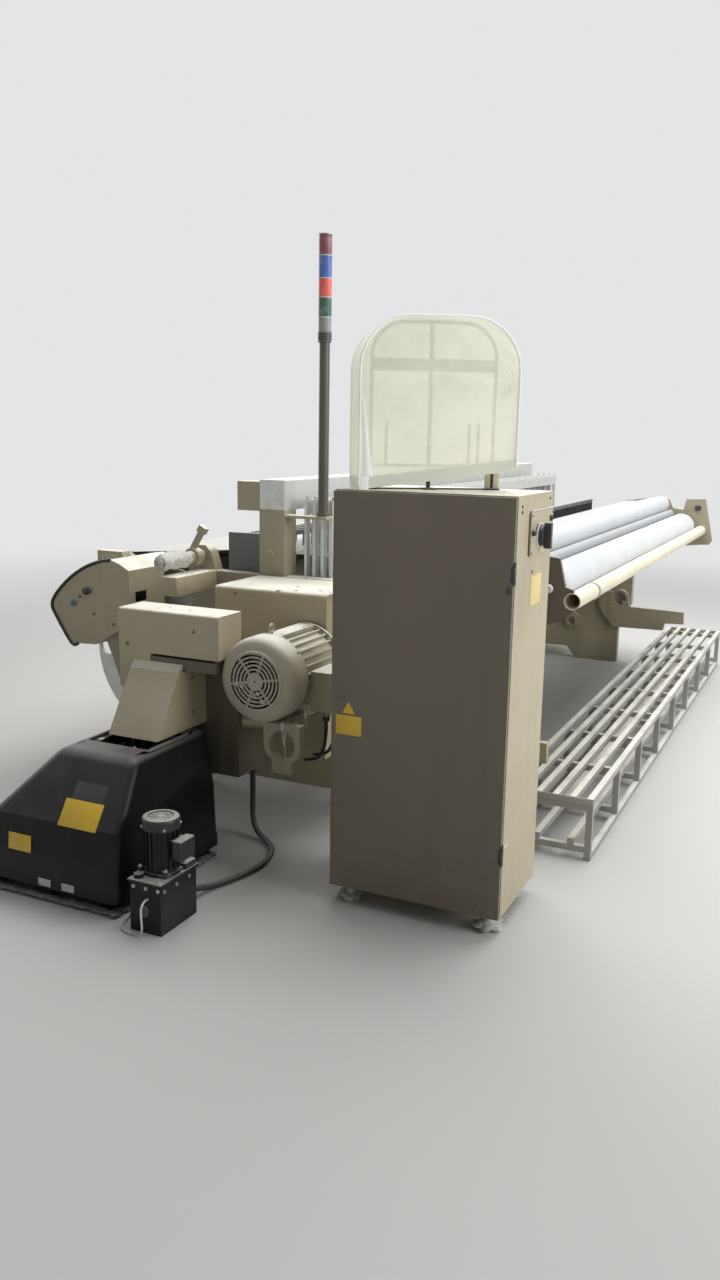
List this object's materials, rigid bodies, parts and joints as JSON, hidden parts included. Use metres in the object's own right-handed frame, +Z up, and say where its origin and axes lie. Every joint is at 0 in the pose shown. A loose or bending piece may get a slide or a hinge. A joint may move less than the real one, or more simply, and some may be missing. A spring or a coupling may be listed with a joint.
{
  "type": "power loom",
  "caption": "Wide air-jet power loom for weaving cloth, with a free-standing control cabinet under a soft hood, drive covers and motor, cam unit, pump unit, cloth rolls, warp beam and slatted step.",
  "frame": {"origin": "floor point under the middle of the machine's overall box", "axes": "+X along the loom away from the drive end, +Y from the cloth side to the warp side, +Z up"},
  "size_m": [5.3175, 2.4499, 2.334],
  "materials": {
    "beige_frame": "painted, dusty",
    "beige_sheet": "painted, dusty",
    "taupe_sheet": "satin paint",
    "black_cover": "semi-gloss",
    "dark_metal": "satin",
    "steel": "bare, oiled",
    "light_metal": "satin",
    "step_paint": "worn grey paint",
    "cloth": "plain weave",
    "warp": "fine threads",
    "hood_cloth": "thin, translucent",
    "rubber": "matte",
    "grey_cover": "matte grip cover",
    "plastic": "matte",
    "lens": "glossy, five colours"
  },
  "bodies": {
    "loom_frame": {"near_side_frame": "beige_frame", "far_side_frame": "beige_frame", "lower_cross_beam": "beige_sheet", "rear_cross_beam": "beige_sheet", "breast_beam": "light_metal", "top_beam": "beige_sheet", "near_column": "beige_sheet", "far_column": "beige_sheet", "cam_unit": "steel", "cam_cover": "black_cover", "linkage_duct": "beige_sheet", "gear_case": "beige_sheet", "gear_cover": "beige_sheet", "drive_cover": "beige_sheet", "motor_body": "light_metal", "fan_cowl": "beige_sheet", "terminal_box": "light_metal", "motor_bracket": "light_metal", "drive_belt": "rubber", "pump_tank": "dark_metal", "pump_motor": "dark_metal", "pump_hose": "rubber", "pump_cable": "plastic", "cabinet_body": "taupe_sheet", "cabinet_feet": "steel", "cabinet_modules": "plastic", "switch_plate": "beige_sheet", "hood_frame": "steel", "dust_hood": "hood_cloth", "signal_pole": "dark_metal", "signal_lenses": "lens", "near_roll_bracket": "beige_sheet", "far_roll_bracket": "beige_sheet", "front_bar": "beige_sheet", "cloth_web": "cloth", "warp_sheet": "warp", "warp_shed": "warp", "drop_wires": "steel", "let_off_cover": "beige_sheet", "far_end_cover": "beige_sheet", "weft_feeders": "dark_metal", "weaver_step": "step_paint"},
    "door": {"cabinet_door": "taupe_sheet"},
    "switch_handle": {"main_switch": "dark_metal"},
    "rotor": {"motor_rotor": "steel"},
    "drive_shaft": {"main_shaft": "steel"},
    "sley_reed": {"sley": "light_metal", "reed": "steel"},
    "heald_a": {"heald_frame_1": "light_metal"},
    "heald_b": {"heald_frame_2": "light_metal"},
    "heald_c": {"heald_frame_3": "light_metal"},
    "heald_d": {"heald_frame_4": "light_metal"},
    "take_up": {"take_up_roller": "steel"},
    "press": {"press_roller": "grey_cover"},
    "cloth_take": {"cloth_core": "light_metal", "cloth_roll": "cloth"},
    "beam": {"warp_beam": "light_metal", "warp_yarn": "warp"},
    "backrest": {"backrest_roller": "light_metal"},
    "stop_arm": {"stop_lever": "beige_sheet"}
  },
  "joints": [
    {"name": "cabinet_door_swing", "type": "hinge", "parent": "loom_frame", "child": "door", "pos_m": [-2.161, -1.104, 0.73], "axis": [0, 0, 1], "range_deg": [0, 110]},
    {"name": "main_switch_turn", "type": "hinge", "parent": "loom_frame", "child": "switch_handle", "pos_m": [-1.915, -1.1043, 1.27], "axis": [0, 1, 0], "range_deg": [0, 90]},
    {"name": "main_shaft_turn", "type": "hinge", "parent": "loom_frame", "child": "drive_shaft", "pos_m": [-1.61, -0.06, 0.52], "axis": [1, 0, 0], "continuous": true},
    {"name": "motor_turn", "type": "hinge", "parent": "loom_frame", "child": "rotor", "pos_m": [-1.8, -0.17, 0.72], "axis": [1, 0, 0], "continuous": true},
    {"name": "sley_swing", "type": "hinge", "parent": "loom_frame", "child": "sley_reed", "pos_m": [0.45, -0.25, 0.64], "axis": [-1, 0, 0], "range_deg": [0, 10]},
    {"name": "heald_slide_1", "type": "slide", "parent": "loom_frame", "child": "heald_a", "axis": [0, 0, 1], "range_m": [-0.04, 0.04], "deforming": ["warp_shed"]},
    {"name": "heald_slide_2", "type": "slide", "parent": "loom_frame", "child": "heald_b", "axis": [0, 0, 1], "range_m": [-0.045, 0.045]},
    {"name": "heald_slide_3", "type": "slide", "parent": "loom_frame", "child": "heald_c", "axis": [0, 0, 1], "range_m": [-0.045, 0.045]},
    {"name": "heald_slide_4", "type": "slide", "parent": "loom_frame", "child": "heald_d", "axis": [0, 0, 1], "range_m": [-0.045, 0.045]},
    {"name": "take_up_turn", "type": "hinge", "parent": "loom_frame", "child": "take_up", "pos_m": [0.45, -0.8, 1.13], "axis": [1, 0, 0], "continuous": true},
    {"name": "press_turn", "type": "hinge", "parent": "loom_frame", "child": "press", "pos_m": [0.45, -0.8647, 1.07048], "axis": [1, 0, 0], "continuous": true},
    {"name": "cloth_roll_turn", "type": "hinge", "parent": "loom_frame", "child": "cloth_take", "pos_m": [0.45, -0.95, 0.992], "axis": [1, 0, 0], "continuous": true},
    {"name": "warp_beam_turn", "type": "hinge", "parent": "loom_frame", "child": "beam", "pos_m": [0.45, 0.825, 0.56], "axis": [1, 0, 0], "continuous": true},
    {"name": "backrest_turn", "type": "hinge", "parent": "loom_frame", "child": "backrest", "pos_m": [0.45, 1.055, 0.96], "axis": [1, 0, 0], "continuous": true},
    {"name": "stop_lever_turn", "type": "hinge", "parent": "loom_frame", "child": "stop_arm", "pos_m": [-1.4, 0.555, 1.04], "axis": [1, 0, 0], "range_deg": [-15, 15]}
  ],
  "couplings": [
    {"joint": "motor_turn", "follows": "main_shaft_turn", "ratio": 3},
    {"joint": "heald_slide_2", "follows": "heald_slide_1", "ratio": -1},
    {"joint": "heald_slide_3", "follows": "heald_slide_1", "ratio": 1},
    {"joint": "heald_slide_4", "follows": "heald_slide_1", "ratio": -1},
    {"joint": "press_turn", "follows": "take_up_turn", "ratio": -2.0632},
    {"joint": "cloth_roll_turn", "follows": "take_up_turn", "ratio": 0.6744},
    {"joint": "backrest_turn", "follows": "warp_beam_turn", "ratio": 5.7692}
  ]
}
